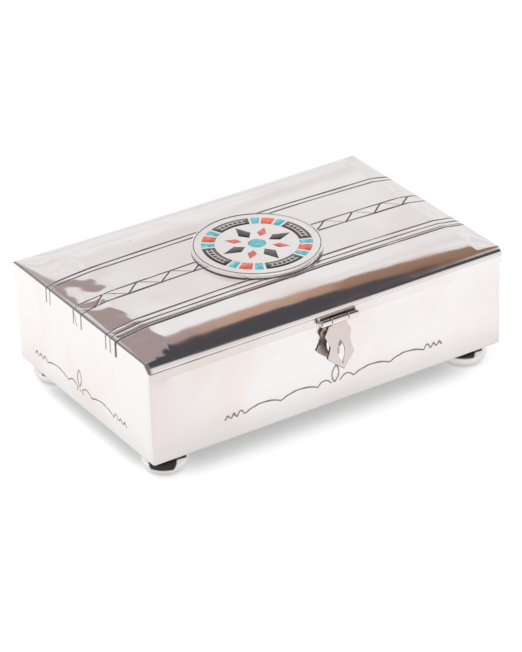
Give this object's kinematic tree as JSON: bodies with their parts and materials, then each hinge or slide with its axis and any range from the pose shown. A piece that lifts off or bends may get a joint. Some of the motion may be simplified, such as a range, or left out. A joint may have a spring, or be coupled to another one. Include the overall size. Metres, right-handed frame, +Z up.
{
  "type": "inlaid silver box",
  "caption": "Rectangular sheet silver box on bun feet, with a low domed hinged lid, a round stone inlaid disc, chased lines, and a hasp that drops over a staple.",
  "frame": {"origin": "centre of the bounding box at the height of the surface that the feet stand on", "axes": "+X along the box's length to the right, +Y from the hasp at the front towards the hinge at the back, +Z up"},
  "size_m": [0.165, 0.114, 0.0575],
  "materials": {
    "silver": "polished silver with fine handling scratches",
    "silver_soft": "satin silver, slightly tarnished",
    "jet": "polished black stone",
    "coral": "polished coral red stone",
    "turquoise": "polished blue green stone"
  },
  "bodies": {
    "box_body": {"back_wall": "silver", "floor_plate": "silver_soft", "foot_back_left": "silver", "foot_back_right": "silver", "foot_front_left": "silver", "foot_front_right": "silver", "front_wall": "silver", "hinge_leaf_body": "silver_soft", "hinge_pin": "silver_soft", "left_wall": "silver", "right_wall": "silver", "rim_back": "silver", "rim_front": "silver", "rim_left": "silver", "rim_right": "silver", "staple": "silver"},
    "lid": {"lid_top": "silver", "lid_skirt_front": "silver", "lid_skirt_back": "silver", "lid_skirt_left": "silver", "lid_skirt_right": "silver", "disc_base": "silver", "disc_face": "silver", "disc_bezel": "silver", "hinge_leaf_lid": "silver_soft", "hasp_leaf": "silver", "hasp_pin": "silver_soft", "coral_block_1": "coral", "coral_block_2": "coral", "coral_block_3": "coral", "coral_block_4": "coral", "coral_point_1": "coral", "coral_point_2": "coral", "coral_point_3": "coral", "coral_point_4": "coral", "jet_arc_1": "jet", "jet_arc_2": "jet", "jet_arc_3": "jet", "jet_arc_4": "jet", "jet_point_1": "jet", "jet_point_2": "jet", "jet_point_3": "jet", "jet_point_4": "jet", "turquoise_block_1a": "turquoise", "turquoise_block_1b": "turquoise", "turquoise_block_2a": "turquoise", "turquoise_block_2b": "turquoise", "turquoise_block_3a": "turquoise", "turquoise_block_3b": "turquoise", "turquoise_block_4a": "turquoise", "turquoise_block_4b": "turquoise", "turquoise_centre": "turquoise"},
    "hasp": {"hasp_plate": "silver"}
  },
  "joints": [
    {"name": "lid_hinge", "type": "hinge", "parent": "box_body", "child": "lid", "pos_m": [0, 0.05502, 0.0452], "axis": [-1, 0, 0], "range_deg": [0, 105]},
    {"name": "hasp_hinge", "type": "hinge", "parent": "lid", "child": "hasp", "pos_m": [0.0021, -0.05433, 0.0469], "axis": [-1, 0, 0], "range_deg": [-8, 165]}
  ]
}
